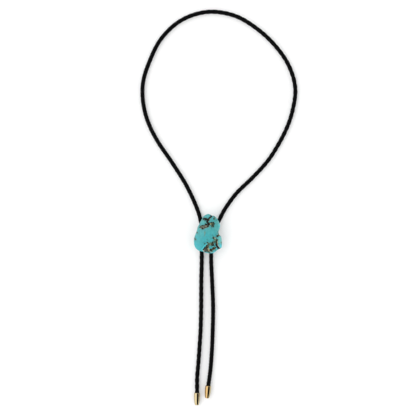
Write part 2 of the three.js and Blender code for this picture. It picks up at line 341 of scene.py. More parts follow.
# %% Four laces
LACE_WIDTH = 3.55 * MM
LACE_THICKNESS = 1.25 * MM
WAVE = 0.2 * MM
CROWN = 0.23 * MM
LACE_RADIUS = CORD_DIAMETER / 2 + CROWN - LACE_THICKNESS / 2 - WAVE
SECTION_POINTS = 14
SECTION_SQUARENESS = 3.0
HUG = 0.5
SLOW_TURN = 0.75 * np.pi
PRESSED_AT = 0.01 * MM


def superellipse(half_width, half_height, points, squareness):
    """Points of a flattened oval: cosine and sine raised to the power 2 / squareness, signs kept."""
    angle = 2 * np.pi * np.arange(points) / points
    x, y = np.cos(angle), np.sin(angle)
    power = 2 / squareness
    return half_width * np.sign(x) * np.abs(x)**power, half_height * np.sign(y) * np.abs(y)**power


def lace(hand, start):
    """One lace of the braid, as a shell.

    Its middle runs at angle hand * turn + start round the cord, plus a slow turn of the whole braid, at the
    radius LACE_RADIUS + hand * WAVE * cos(2 * turn), where turn is 2 pi for each lay of the distance. The
    section lies across the lace's own direction, with its thin side towards the cord's axis, and is lowered
    by the square of the way from its middle. Where it meets the table it is pressed flat at PRESSED_AT.
    """
    turn = 2 * np.pi * (distance - insertion) / LAY
    angle = hand * turn + start + SLOW_TURN * distance / distance[-1]
    radius = LACE_RADIUS + hand * WAVE * np.cos(2 * turn)
    outward = np.cos(angle)[:, None] * side + np.sin(angle)[:, None] * lift
    middle = route + radius[:, None] * outward
    forward = np.gradient(middle, axis=0)
    forward /= np.linalg.norm(forward, axis=1, keepdims=True)
    normal = outward - (outward * forward).sum(axis=1, keepdims=True) * forward
    normal /= np.linalg.norm(normal, axis=1, keepdims=True)
    across = np.cross(normal, forward)
    u, v = superellipse(LACE_WIDTH / 2, LACE_THICKNESS / 2, SECTION_POINTS, SECTION_SQUARENESS)
    drop = HUG * u**2 / (2 * (LACE_RADIUS + LACE_THICKNESS / 2))
    rings = middle[:, None] + u[None, :, None] * across[:, None] + (v - drop)[None, :, None] * normal[:, None]
    rings[..., 2] = np.maximum(rings[..., 2], PRESSED_AT)
    return shell(rings)


braid = make_piece("braided_leather_cord", [
    lace(hand, start) for hand in (1, -1) for start in (0, np.pi)], leather)
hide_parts("braided_cord")
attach(braid, "root")

# %% [markdown]
# ## Pale gold tips
#
# Each tip is a small turned cup with a barrel's outside, pressed onto the cord's end. A profile turned round
# an axis gives it: the outside comes from a few chosen radii joined by a smooth curve, the mouth's rim is a
# few short steps, and the bore is straight. The brass is polished and plated with pale gold, so it mirrors
# the room: a metal keeps the default index of refraction, and its colour is all in the base colour. The
# left side of each tip is painted warmer, as a painted reflection, and one tip more than the other, so each
# vertex carries a number that mixes two golds. Faint lines round the tip are left by the lathe.

# %% Plated brass
PALE_PLATE = "#b2a684"
# The golder plate that the painted reflection mixes in on a tip's left side.
REFLECTED_WARM_PLATE = "#b88c4c"
SMEAR = 1.5 * MM
TURNING_LINE = 0.25 * MM
TURNING_REACH = 3 * MM
TURNING_DEPTH = 0.02 * MM

gold, tree = new_material("polished_pale_gold_plate")
place = add(tree, "ShaderNodeTexCoord").outputs["Object"]
smear = add(tree, "ShaderNodeTexNoise", {"Vector": place, "Scale": 1 / SMEAR, "Detail": 3.0})
gloss = add(tree, "ShaderNodeMapRange", {"Value": smear.outputs["Fac"], "To Min": 0.04, "To Max": 0.12})
# Painted reflection: a number at each vertex, higher on a tip's left side, mixes in the golder plate.
painted_reflection_warmth = add(tree, "ShaderNodeAttribute", attribute_name="painted_reflection_warmth").outputs["Fac"]
tint = blend(tree, painted_reflection_warmth, linear(PALE_PLATE), linear(REFLECTED_WARM_PLATE))
lines = add(tree, "ShaderNodeMapping", {
    "Vector": place, "Scale": (1 / TURNING_REACH, 1 / TURNING_LINE, 1 / TURNING_REACH)})
turned = add(tree, "ShaderNodeTexNoise", {"Vector": lines.outputs["Vector"], "Scale": 1.0, "Detail": 2.0})
marks = add(tree, "ShaderNodeBump", {
    "Height": turned.outputs["Fac"], "Strength": 0.12, "Distance": TURNING_DEPTH})
finish_material(tree, {
    "Base Color": tint, "Metallic": 1.0, "Roughness": gloss.outputs["Result"],
    "Normal": marks.outputs["Normal"]})

# %% A turned tip
TIP_LENGTH = 12.7 * MM
TIP_RADIUS = 3.15 * MM
TIP_PROFILE = np.array([
    (0.02, 0.94), (0.12, 0.98), (0.3, 1.0), (0.5, 0.97), (0.68, 0.9), (0.84, 0.8), (0.94, 0.71),
    (0.985, 0.62), (1.0, 0.5)])
TIP_SIDES = 64
MOUTH_SHARE = 0.9
BORE_END_SHARE = 0.2
BORE_CHAMFER = 0.08 * MM
LIP_WIDTH = 0.1 * MM
LIP_RUN = 0.12 * MM
# How far each tip's left side is painted towards the golder plate, as a painted reflection.
REFLECTION_TINT_BY_TIP = {"tip_left": 0.15, "tip_right": 0.9}


def turned_tip(name):
    """A cup turned round the tip's axis.

    Rings go from the bore's end out to the mouth, round the rim and down the outside. A point is the mouth,
    plus its way along the axis, plus its radius times the cosine across and the sine up.
    """
    bore = CORD_DIAMETER / 2 + CLEARANCE
    rim = MOUTH_SHARE * TIP_RADIUS
    outside = smooth_curve(TIP_PROFILE * (TIP_LENGTH, TIP_RADIUS), steps=5)
    inside = np.array([
        (TIP_BORE, BORE_END_SHARE * bore), (TIP_BORE, bore), (BORE_CHAMFER, bore), (0, bore + BORE_CHAMFER)])
    lip = np.array([(0, rim - LIP_WIDTH), (LIP_RUN, rim)])
    profile = np.vstack([inside, lip, outside])
    along, radius = profile[:, 0][:, None, None], profile[:, 1][:, None, None]
    angle = (2 * np.pi * np.arange(TIP_SIDES) / TIP_SIDES)[None, :, None]
    lean = TIPS[name]["lean"]
    down, level = np.array([np.sin(lean), -np.cos(lean), 0]), np.array([np.cos(lean), np.sin(lean), 0])
    rings = (along_tip(name, 0) + along * down
             + radius * (np.cos(angle) * level + np.sin(angle) * np.array([0, 0, 1])))
    piece = make_piece("gold_" + name, [shell(rings)], gold, sharp_degrees=40)
    # Painted reflection: the golder tint grows from nothing on the right side to full on the left.
    painted_golder_side = REFLECTION_TINT_BY_TIP[name] * (0.5 - 0.5 * np.cos(angle)) * np.ones(len(profile))[:, None, None]
    give_attribute(piece, "painted_reflection_warmth", np.concatenate([painted_golder_side.ravel(), [0, 0]]))
    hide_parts(name)
    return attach(piece, "root")


gold_tips = [turned_tip(name) for name in TIPS]

# %% [markdown]
# ## The whole cord
#
# The braid is a mesh, so its length can't be read off it. The whole cord shows in the picture, from tip to
# tip.

# %% [markdown]
# ## The slide
#
# Behind the stone is a strip of nickel-silver sheet whose ends curl under into two channels, one for each
# run of the cord. The strip's middle line is a chain of straights and arcs, and a flat bar with rounded
# corners is carried along it. Edges that are tumbled round catch a line of light, so the last rings at the
# free edges draw in too.

# %% Nickel silver
BRUSH_LINE = 0.3 * MM
BRUSH_REACH = 4 * MM

nickel, tree = new_material("tumbled_nickel_silver")
place = add(tree, "ShaderNodeTexCoord").outputs["Object"]
brush = add(tree, "ShaderNodeMapping", {
    "Vector": place, "Scale": (1 / BRUSH_REACH, 1 / BRUSH_LINE, 1 / BRUSH_REACH)})
lines = add(tree, "ShaderNodeTexNoise", {"Vector": brush.outputs["Vector"], "Scale": 1.0, "Detail": 2.0})
gloss = add(tree, "ShaderNodeMapRange", {"Value": lines.outputs["Fac"], "To Min": 0.25, "To Max": 0.45})
tint = blend(tree, lines.outputs["Fac"], linear("#c9c6bc"), linear("#a8a59b"))
finish_material(tree, {"Base Color": tint, "Metallic": 1.0, "Roughness": gloss.outputs["Result"]})

# %% The bent strip
SHEET = 0.8 * MM
BEND = 1.7 * MM
SLIT = 0.7 * MM
TUMBLED = 0.18 * MM


def arc(centre_x, centre_z, radius, start, stop, steps=8):
    """Points of an arc between two angles in degrees: the centre plus radius times cosine and sine."""
    angle = np.radians(np.linspace(start, stop, steps + 1))
    return np.column_stack([centre_x + radius * np.cos(angle), centre_z + radius * np.sin(angle)])


def strip_line():
    """The strip's middle line seen from its end: one free edge, round both channels, to the other."""
    top, outer = CLIP_HIGH[2], (CLIP_HIGH[0] - CLIP_LOW[0]) / 2
    inner = outer - top
    middle = BEND - SHEET / 2
    edge = top - SHEET - SLIT
    half = np.vstack([
        [(0, top - SHEET / 2)],
        arc(outer - BEND, top - BEND, middle, 90, 0), arc(outer - BEND, BEND, middle, 0, -90),
        arc(inner + BEND, BEND, middle, -90, -180), [(inner + SHEET / 2, edge)]])
    return np.vstack([half[:0:-1] * (-1, 1), half])


def bent_strip():
    """A flat rounded bar carried along the strip's line.

    Its section reaches along Y by half the strip's length and across the line by half the sheet. At each
    free edge the last rings draw in as a quarter circle, so the edge is rounded too.
    """
    line = strip_line()
    ahead = np.gradient(line, axis=0)
    ahead /= np.linalg.norm(ahead, axis=1, keepdims=True)
    normal = np.column_stack([-ahead[:, 1], ahead[:, 0]])
    quarter = np.radians([0, 30, 60, 90])
    inset = TUMBLED * (1 - np.sin(quarter))
    back = TUMBLED * (1 - np.cos(quarter))
    line = np.vstack([
        line[0] + back[:, None] * ahead[0], line[1:-1], line[-1] - back[::-1, None] * ahead[-1]])
    ends = len(quarter)
    normal = np.vstack([np.tile(normal[0], (ends, 1)), normal[1:-1], np.tile(normal[-1], (ends, 1))])
    shrink = np.concatenate([inset, np.zeros(len(line) - 2 * ends), inset[::-1]])
    half_length, half_sheet = (CLIP_HIGH[1] - CLIP_LOW[1]) / 2, SHEET / 2
    turn = np.radians(np.arange(0, 91, 30))
    corner = TUMBLED * np.column_stack([np.cos(turn) - 1, np.sin(turn) - 1]) + (half_length, half_sheet)
    section = np.vstack([corner, (corner * (-1, 1))[::-1], corner * (-1, -1), (corner * (1, -1))[::-1]])
    along_y = section[None, :, 0] - np.sign(section[None, :, 0]) * shrink[:, None]
    off_line = section[None, :, 1] - np.sign(section[None, :, 1]) * shrink[:, None]
    place = line[:, None] + off_line[..., None] * normal[:, None]
    middle_y = (CLIP_LOW[1] + CLIP_HIGH[1]) / 2
    return shell(np.stack([CLIP_MIDDLE + place[..., 0], middle_y + along_y, place[..., 1]], axis=-1))


print("points on the strip's line:", len(strip_line()))

# %% [markdown]
# ## The shape of the nugget
#
# The stone is a tumbled nugget. Its outline is irregular, its faces are nearly flat and its rim is round.
# A sphere's grid does for it: each ring is the outline shrunk towards the middle, and the height follows a
# superellipse, whose power sets how flat the faces are. The outline is a short table of chosen points in
# shares of the width and height, so the stone fits its solid exactly.

# %% Outline of the nugget
NUGGET_OUTLINE = np.array([
    (0.005, 0.5), (-0.116, 0.464), (-0.199, 0.398), (-0.249, 0.329), (-0.306, 0.252), (-0.367, 0.171),
    (-0.398, 0.088), (-0.436, 0.012), (-0.475, -0.063), (-0.501, -0.143), (-0.503, -0.218), (-0.486, -0.305),
    (-0.425, -0.383), (-0.321, -0.436), (-0.185, -0.455), (-0.077, -0.487), (0.048, -0.5), (0.19, -0.49),
    (0.281, -0.446), (0.382, -0.395), (0.47, -0.36), (0.493, -0.285), (0.489, -0.182), (0.468, -0.087),
    (0.393, -0.017), (0.37, 0.036), (0.4, 0.11), (0.427, 0.2), (0.386, 0.299), (0.306, 0.388),
    (0.215, 0.45), (0.131, 0.458), (0.081, 0.482)])
NUGGET_POINTS_AROUND = 396
NUGGET_RINGS = 170
ROUNDNESS = 2.5
BACK_DEPTH = 3.4 * MM

outline = smooth_curve(NUGGET_OUTLINE, closed=True, steps=NUGGET_POINTS_AROUND // len(NUGGET_OUTLINE))
outline = (outline - outline.min(axis=0)) / np.ptp(outline, axis=0) - 0.5
print("outline points:", len(outline))

# %% [markdown]
# ## Noise that says where rock wanders
#
# Neither cracks nor hollows in rock are straight or even. Smooth noise on a lattice of seeded random numbers
# gives both their wandering, and every run gives the same stone. Places are pushed aside by two sizes of it.

# %% Noise on a lattice
LATTICE_SIZE = 64
LATTICE_SHIFT = 500
LATTICE = np.random.default_rng(11).random((LATTICE_SIZE, LATTICE_SIZE))
WARP = 1.1
WARP_CELLS = (1.4, 0.6)
WARP_SHIFTS = {"x": ((0, 0), (31, 0)), "y": ((0, 57), (0, 83))}


def lattice_noise(x, y, cell):
    """Smooth noise from 0 to 1: random numbers a cell apart, mixed by the cubic 3 t^2 - 2 t^3.

    The shift keeps the lattice's places positive.
    """
    gx, gy = x / cell + LATTICE_SHIFT, y / cell + LATTICE_SHIFT
    ix, iy = np.floor(gx).astype(int), np.floor(gy).astype(int)
    tx, ty = gx - ix, gy - iy
    tx, ty = tx * tx * (3 - 2 * tx), ty * ty * (3 - 2 * ty)
    corner = [[LATTICE[(ix + dx) % LATTICE_SIZE, (iy + dy) % LATTICE_SIZE] for dy in (0, 1)] for dx in (0, 1)]
    left = corner[0][0] * (1 - ty) + corner[0][1] * ty
    right = corner[1][0] * (1 - ty) + corner[1][1] * ty
    return left * (1 - tx) + right * tx


def pushed(x, y):
    """Places pushed a little aside, by coarse noise and by finer noise half as strong.

    The noise is read at shifted places, so that its parts have nothing to do with each other.
    """
    aside = []
    for coarse, fine in WARP_SHIFTS.values():
        wide = lattice_noise(x + coarse[0], y + coarse[1], WARP_CELLS[0]) - 0.5
        narrow = lattice_noise(x + fine[0], y + fine[1], WARP_CELLS[1]) - 0.5
        aside.append(WARP * wide + 0.5 * WARP * narrow)
    return x + aside[0], y + aside[1]


def pinned(points):
    """Chosen points pushed aside as the stone's vertices are, so that each one shows where it was put."""
    return np.column_stack(pushed(*np.array(points).T)).tolist()


print("random numbers on the lattice:", LATTICE.size)

# %% [markdown]
# ## Where the matrix runs
#
# Matrix is the mother rock that turquoise grows in. It shows as black cracks, brown and olive patches, tan
# edges and faint stains; two faint lines among them are painted shade. Each is laid down as a stroke with
# half its width and a few points along it, or as a patch with a few corners, all in millimetres from the
# middle of the stone. For every vertex the distance to the strokes is worked out and kept as one number for
# each kind, 1 on the line and one half at the stroke's edge. Each vertex is pushed a little aside before it
# is measured, so that no stroke stays straight. The chosen points are pushed with it and so stay where they
# were put. The material cuts the number with finer noise, so the edges are as ragged and as sharp as rock.

# %% Strokes and patches, by kind
STROKES = {
    "black": [
        (1.19, [(-4.2, 14.9), (-3.5, 14.9)]),
        (1.26, [(-1.2, 14.1), (-0.3, 13.7)]),
        (0.96, [(-0.6, 13.1), (-0.2, 11.8), (-0.1, 11.2)]),
        (0.96, [(3.4, 17.6), (3.7, 17.3)]),
        (0.44, [(-2.8, 15.1), (-1.8, 14.6)]),
        (0.44, [(0.4, 14.7), (1.5, 15.9), (2.6, 16.8)]),
        (0.62, [(9.0, -11.4), (10.0, -13.4), (11.0, -14.7), (11.7, -15.4)]),
        (0.51, [(9.2, -6.7), (8.7, -8.0), (8.6, -10.4)]),
        (0.66, [(9.2, -2.5), (10.0, -2.1)]),
        (0.81, [(2.4, -17.0), (3.0, -16.8)]),
        (0.66, [(5.6, -15.1), (6.2, -14.6)]),
        (0.47, [(-4.5, -16.5), (-4.3, -15.3), (-3.1, -13.6), (-1.8, -12.5)]),
        (0.59, [(-0.6, -13.6), (-0.8, -15.3), (-0.6, -17.0)]),
        (0.59, [(-3.1, -17.8), (-2.2, -17.9)]),
        (0.59, [(5.2, -11.6), (5.8, -11.9)]),
        (0.59, [(-5.7, 5.2), (-5.1, 5.0)]),
        (0.66, [(-2.4, 9.2), (-1.3, 9.3)]),
        (0.66, [(1.0, 9.3), (1.4, 8.9)]),
        (0.34, [(-0.8, 7.6), (0.1, 8.4)]),
        (0.38, [(-7.9, 6.9), (-7.4, 6.8)]),
        (0.44, [(-6.1, 8.1), (-5.4, 8.1)]),
        (0.44, [(4.5, 9.0), (4.8, 8.4)]),
        (0.44, [(4.6, 7.0), (5.2, 6.9)]),
        (0.34, [(5.9, 10.9), (6.1, 9.9)]),
        (0.34, [(3.1, 11.3), (4.0, 11.4)]),
        (0.66, [(-0.0, 11.0), (0.7, 10.2)]),
        (0.44, [(5.4, -4.5), (5.8, -4.8)]),
        (0.38, [(-0.7, -8.8), (-0.2, -9.1)]),
        (0.44, [(4.7, -8.9), (4.9, -9.4)]),
        (0.47, [(6.6, -8.3), (7.0, -8.6)]),
        (0.44, [(0.8, -18.4), (1.3, -18.7)]),
    ],
    "brown": [
        (1.39, [(-4.4, 14.9), (-3.3, 14.9)]),
        (0.73, [(-3.1, 15.2), (-1.3, 14.4)]),
        (1.46, [(-1.0, 14.1), (-0.3, 13.6)]),
        (0.85, [(0.3, 14.4), (1.5, 15.9), (2.5, 16.5)]),
        (1.13, [(-0.5, 12.8), (-0.1, 11.3)]),
        (1.25, [(0.4, 10.4), (1.3, 9.0)]),
        (1.06, [(9.4, -6.3), (8.7, -7.9), (8.6, -10.5)]),
        (0.93, [(9.4, -2.3), (10.2, -1.9), (11.5, -1.1)]),
        (0.72, [(9.0, -11.2), (10.0, -13.4), (11.8, -15.4)]),
        (1.0, [(4.9, -10.5), (5.5, -11.8)]),
        (1.25, [(2.1, -17.0), (3.4, -16.6)]),
        (1.06, [(3.7, -16.5), (5.5, -15.0), (6.9, -14.7)]),
        (0.86, [(-1.2, -12.3), (0.4, -13.1)]),
        (0.93, [(-0.6, -13.5), (-0.8, -17.6)]),
        (0.66, [(4.7, -9.1), (5.1, -10.0)]),
        (0.34, [(-3.3, -9.8), (-2.8, -9.9)]),
        (0.46, [(1.9, -10.8), (2.9, -11.1)]),
        (0.5, [(-13.0, -5.3), (-12.7, -5.7)]),
        (0.46, [(3.1, 11.3), (5.5, 11.4), (6.2, 10.2), (6.0, 7.8), (5.0, 6.8), (3.5, 7.0)]),
        (0.8, [(-3.2, -17.9), (-2.2, -17.9)]),
        (0.73, [(0.6, -18.4), (1.5, -18.8)]),
    ],
    "olive": [
        (0.66, [(5.6, -4.6), (6.9, -4.8), (8.1, -5.7)]),
        (0.93, [(6.3, -8.4), (7.1, -8.5)]),
        (0.53, [(-0.6, -8.9), (-0.2, -9.4), (1.0, -10.0)]),
        (0.95, [(5.7, 15.1), (6.5, 15.3)]),
        (0.54, [(6.3, 17.9), (6.8, 17.7)]),
        (0.61, [(-11.2, 1.2), (-10.8, 0.9)]),
        (0.89, [(-13.0, -5.2), (-12.6, -5.8)]),
        (1.36, [(6.0, -4.6), (7.5, -5.2)]),
        (1.02, [(7.3, -6.3), (8.0, -6.7)]),
        (1.43, [(5.8, -8.5), (7.5, -8.8)]),
        (0.68, [(2.1, 9.9), (2.9, 10.2)]),
        (1.36, [(4.0, -16.6), (6.9, -14.8)]),
        (0.82, [(-0.8, -18.4), (1.0, -18.5)]),
        (0.68, [(13.4, -8.5), (13.7, -9.2)]),
        (0.8, [(3.9, -18.0), (4.8, -17.9)]),
    ],
    # Blue-green stains, and two strokes of painted shade where the surface curves away.
    "teal_stain_and_shade": [
        (0.53, [(-1.8, -3.0), (-1.5, -3.1)]),
        (0.59, [(1.1, -3.0), (1.5, -3.2)]),
        (0.59, [(-0.7, -6.2), (-0.2, -6.4)]),
        (0.41, [(4.3, -0.5), (6.0, -2.6)]),
        (0.65, [(8.4, 13.3), (9.0, 13.2)]),
        (0.95, [(7.1, -16.1), (7.9, -16.5)]),
        (0.83, [(-3.5, -9.7), (-2.7, -10.0)]),
        # Painted shade: darker where the right bulge curves away into the notch.
        (0.59, [(10.3, 2.8), (9.9, 0.4)]),
        # Painted shade: a thin dark line in the crease at the left lobe's step.
        (0.33, [(-7.3, 10.2), (-6.9, 8.7)]),
    ],
    "haze": [
        (2.2, [(12.2, -4.8), (12.6, -8.2)]),
    ],
    "rust": [
        (0.56, [(-3.1, 2.0), (-3.2, -0.2), (-3.5, -2.4)]),
    ],
    "tan": [
        (0.44, [(-0.1, -13.6), (0.5, -15.6), (0.5, -17.5), (1.5, -18.2)]),
        (0.3, [(0.7, 14.0), (2.1, 15.3)]),
        (0.27, [(0.8, 13.4), (0.8, 11.2)]),
        (0.41, [(2.0, 9.6), (2.6, 10.1)]),
        (0.33, [(9.7, -6.7), (9.5, -10.0)]),
        (0.3, [(4.0, -15.8), (5.5, -14.3), (6.8, -14.0)]),
        (0.27, [(6.3, -15.6), (7.3, -15.3)]),
        (0.47, [(3.8, 10.2), (4.0, 9.6)]),
        (0.27, [(10.8, -1.7), (11.7, -1.1)]),
    ],
    "pale": [
        (0.47, [(-2.0, 8.0), (-1.6, 7.9)]),
        (0.41, [(10.1, -11.0), (10.9, -12.3), (11.7, -13.6)]),
        (0.53, [(-4.9, -17.0), (-4.4, -17.5)]),
        (0.4, [(2.8, -19.0), (3.4, -19.0)]),
        (0.35, [(7.1, -4.2), (7.4, -4.4)]),
        (0.38, [(2.1, -10.8), (2.6, -10.9)]),
    ],
    # Painted highlights: bright lines where the rim and the lips of hollows catch light.
    "painted_highlight": [
        (0.71, [(-1.9, -11.1), (-4.3, -13.6), (-5.8, -16.2), (-5.5, -17.6)]),
        (1.18, [(5.1, -18.6), (6.4, -18.2)]),
        (0.77, [(-1.0, -19.4), (-0.0, -19.6)]),
        (1.24, [(13.1, -12.3), (13.6, -13.5)]),
        (1.01, [(8.9, -14.8), (9.6, -15.3)]),
        (0.59, [(11.3, 9.0), (12.1, 6.3)]),
    ],
}
PATCHES = [
    {"kind": "grey", "corners": [
        (-8.3, 7.2), (-7.1, 8.6), (-5.8, 8.5), (-4.0, 9.0), (-2.5, 9.8), (-0.8, 9.5), (0.4, 10.2),
        (1.9, 10.2), (2.1, 8.7), (1.0, 7.1), (-0.8, 6.1), (-2.2, 5.4), (-3.7, 4.8), (-5.2, 4.2),
        (-6.4, 4.5), (-7.8, 6.2)]},
    {"kind": "olive", "corners": [
        (2.6, 11.3), (4.0, 11.7), (5.5, 11.7), (6.4, 10.2), (6.1, 7.5), (4.9, 6.5), (3.4, 6.8), (2.6, 8.7)]},
    {"kind": "grey", "corners": [
        (-1.3, -12.1), (-3.1, -13.4), (-4.9, -15.7), (-4.4, -17.6), (-3.1, -18.5), (-0.8, -18.1),
        (-0.0, -15.6), (-0.4, -13.1)]},
    {"kind": "olive", "corners": [
        (-1.3, -8.2), (1.0, -9.0), (4.0, -8.7), (5.8, -10.0), (6.5, -12.3), (4.0, -12.6), (1.0, -12.5),
        (-0.8, -12.2), (-1.4, -10.2)]},
]
DARK_KINDS = ("black", "brown", "olive")
NEAR_REACH = 2.6
KINDS = ("haze", "painted_highlight", "teal_stain_and_shade", "rust", "olive", "grey", "brown", "tan", "pale", "black")


def distance_to_stroke(x, y, points):
    """Least distance to a chain of straight stretches: the way from each stretch's nearest point."""
    nearest = np.full(x.shape, np.inf)
    for (ax, ay), (bx, by) in zip(points[:-1], points[1:]):
        run_x, run_y = bx - ax, by - ay
        share = np.clip(((x - ax) * run_x + (y - ay) * run_y) / (run_x**2 + run_y**2), 0, 1)
        nearest = np.minimum(nearest, np.hypot(x - ax - share * run_x, y - ay - share * run_y))
    return nearest


def inside_patch(x, y, corners):
    """Which points lie inside a patch: a line to the right crosses its edges an odd number of times."""
    inside = np.zeros(x.shape, bool)
    for (ax, ay), (bx, by) in zip(corners, corners[1:] + corners[:1]):
        crosses = (ay > y) != (by > y)
        inside ^= crosses & (x < ax + (y - ay) * (bx - ax) / (by - ay if by != ay else 1))
    return inside


def matrix_fields(x, y):
    """One array for each kind: one half on the edge of its strokes and patches, 1 well inside, 0 outside.

    One more, near, is 1 on a dark stroke and falls off beside it as a bell curve of the distance.
    """
    fields = {kind: np.zeros(x.shape) for kind in KINDS}
    nearest = np.full(x.shape, np.inf)
    for kind, strokes in STROKES.items():
        for half_width, points in strokes:
            gap = distance_to_stroke(x, y, pinned(points))
            fields[kind] = np.maximum(fields[kind], np.clip(1 - gap / half_width / 2, 0, 1))
            if kind in DARK_KINDS:
                nearest = np.minimum(nearest, gap)
    for patch in PATCHES:
        corners = pinned(patch["corners"])
        edge = distance_to_stroke(x, y, corners + corners[:1])
        signed = np.where(inside_patch(x, y, corners), edge, -edge)
        fields[patch["kind"]] = np.maximum(fields[patch["kind"]], np.clip(0.5 + signed / 2, 0, 1))
    fields["near"] = np.exp(-(nearest / NEAR_REACH)**2)
    return fields


print("strokes:", sum(len(strokes) for strokes in STROKES.values()), "patches:", len(PATCHES))

# %% [markdown]
# ## The nugget's surface
#
# Turquoise is polished, while the softer matrix wears away, so cracks and patches lie lower than the stone.
# The same fields that colour the stone also sink it. Smooth noise adds the hollows of tumbling.

# %% The stone
DENTS = [
    {"from": (-7.7, 11.4), "to": (-7.0, 8.4), "half": 0.7, "depth": 0.5},
    {"from": (-9.6, 6.7), "to": (-2.2, 7.6), "half": 2.0, "depth": 0.45},
    {"from": (-2.2, 7.6), "to": (2.1, 9.6), "half": 1.6, "depth": 0.35},
    {"from": (-0.8, 14.0), "to": (0.4, 9.5), "half": 1.0, "depth": 0.35},
    {"from": (-0.8, 14.2), "to": (3.8, 17.6), "half": 1.1, "depth": 0.5},
    {"from": (11.5, 0.4), "to": (9.5, -2.0), "half": 1.6, "depth": 0.7},
    {"from": (9.2, -6.0), "to": (8.8, -10.5), "half": 0.9, "depth": 0.3},
    {"from": (9.4, -11.3), "to": (12.4, -15.8), "half": 1.1, "depth": 0.7},
    {"from": (-1.8, -13.0), "to": (-4.6, -17.0), "half": 2.2, "depth": 0.6},
    {"from": (0.6, -16.6), "to": (6.3, -14.5), "half": 1.2, "depth": 0.4},
]
SUNK = {"black": 0.4, "brown": 0.14, "grey": 0.22, "olive": 0.04}
SUNK_EDGE = (0.35, 0.7)
RAGGED = {"cell": 0.5, "height": 0.25}
ROUGH = {"cell": 0.7, "height": 0.25}
ROUGH_EDGE = (0.35, 0.8)
HOLLOWS = [{"cell": 9.0, "height": 0.5}, {"cell": 3.1, "height": 0.14}]
FADE = (-0.6, 0.15)


def step_up(value, low, high):
    """0 below low, 1 above high, and the cubic 3 t^2 - 2 t^3 between them."""
    t = np.clip((value - low) / (high - low), 0, 1)
    return t * t * (3 - 2 * t)


def nugget_surface():
    """The stone's points and its matrix fields.

    A ring at latitude a is the outline times cos(a)^(2/n). Its height is the girdle plus the crown times
    sin(a)^(2/n), less the dents and hollows, and the back is cut flat. Latitude runs from the back's middle
    to the front's. The fields fade out down the sides, so that no line runs on to the back.
    """
    size = NUGGET_HIGH - NUGGET_LOW
    latitude = np.linspace(-np.pi / 2, np.pi / 2, NUGGET_RINGS + 2)[1:-1, None]
    shrink = np.cos(latitude) ** (2 / ROUNDNESS)
    rise = np.abs(np.sin(latitude)) ** (2 / ROUNDNESS)
    x = outline[None, :, 0] * size[0] * shrink / MM
    y = outline[None, :, 1] * size[1] * shrink / MM
    fields = matrix_fields(*pushed(x, y))

    sunk = np.zeros(x.shape)
    for dent in DENTS:
        away = distance_to_stroke(x, y, [dent["from"], dent["to"]]) / dent["half"]
        sunk = np.maximum(sunk, dent["depth"] * np.exp(-away**2))
    ragged = RAGGED["height"] * (lattice_noise(x, y, RAGGED["cell"]) - 0.5)
    for kind, depth in SUNK.items():
        sunk = sunk + depth * step_up(fields[kind] + ragged, *SUNK_EDGE)
    rough = step_up(fields["grey"] + fields["brown"], *ROUGH_EDGE)
    sunk = sunk + ROUGH["height"] * rough * lattice_noise(x, y, ROUGH["cell"])
    for hollow in HOLLOWS:
        sunk = sunk + hollow["height"] * lattice_noise(x, y, hollow["cell"])
    sunk = sunk - sunk.min()

    girdle = NUGGET_LOW[2] + BACK_DEPTH
    crown = NUGGET_HIGH[2] - girdle
    front = girdle + crown * rise - sunk * rise * MM
    back = np.maximum(girdle - crown * rise, NUGGET_LOW[2])
    z = np.where(latitude > 0, front, back)
    fade = step_up(latitude, *FADE)
    return np.stack([x * MM, y * MM, z], axis=-1), {kind: field * fade for kind, field in fields.items()}


stone_rings, stone_fields = nugget_surface()
print("stone height in mm:", round(np.ptp(stone_rings[..., 2]) / MM, 2))

# %% [markdown]
# ## Turquoise
#
# Turquoise is a copper mineral with an index of refraction near 1.61. It is tumbled and waxed to a soft
# polish, so light reflects off it broadly. Its blue wanders a little towards green in clouds a few
# millimetres wide, deepens towards the lower end, and has finer mottles. Near the matrix a net of hair-thin
# veins crosses it, which are the borders of Voronoi cells bent by noise. The layers go on top of each other
# in a fixed order, each one cut from its own field with ragged edges: matrix, blue-green stains with some
# painted shade, and painted highlights. Where grey, brown or black matrix covers the stone it is duller and
# rougher.

# %% Turquoise and its matrix
LAYERS = [
    {"kind": "haze", "dark": "#66a9a3", "light": "#84b9b0", "soft": 0.5, "ragged": 0.5, "cover": 0.65},
    # Painted highlight: bright lines where the rim and the lips of hollows catch light.
    {"kind": "painted_highlight", "dark": "#3fb0bb", "light": "#55c3cc", "soft": 0.35, "ragged": 0.3, "cover": 0.8},
    # Blue-green stains, and painted shade where two of its strokes lie.
    {"kind": "teal_stain_and_shade", "dark": "#336e6c", "light": "#4a8d8a", "soft": 0.35, "ragged": 1.2, "cover": 0.8},
    {"kind": "rust", "dark": "#4f7468", "light": "#747a5f", "soft": 0.3, "ragged": 1.6, "cover": 0.7},
    {"kind": "olive", "dark": "#273120", "light": "#57755f", "soft": 0.15, "ragged": 1.9, "cover": 0.95},
    {"kind": "grey", "dark": "#181a13", "light": "#666a5b", "soft": 0.12, "ragged": 1.0, "cover": 1.0},
    {"kind": "brown", "dark": "#0c0c06", "light": "#3a3722", "soft": 0.12, "ragged": 1.3, "cover": 1.0},
    {"kind": "tan", "dark": "#66603c", "light": "#aea173", "soft": 0.25, "ragged": 1.5, "cover": 0.82},
    {"kind": "pale", "dark": "#8f8676", "light": "#c6c3b6", "soft": 0.3, "ragged": 1.5, "cover": 0.8},
    {"kind": "black", "dark": "#020202", "light": "#0b0a06", "soft": 0.12, "ragged": 1.1, "cover": 1.0},
]
WORN_KINDS = ("grey", "brown", "black")
CLOUD = 7 * MM
GRIT = 1.6 * MM
TORN_EDGE = 1.3 * MM
MOTTLE = 1.8 * MM
FALL_FROM, FALL_TO = 6 * MM, -10 * MM
VEIN_CELL = 2.6 * MM
VEIN_BEND = 2.5 * MM
VEIN_SHIFT = 2 * MM
PIT_DEPTH = 0.25 * MM

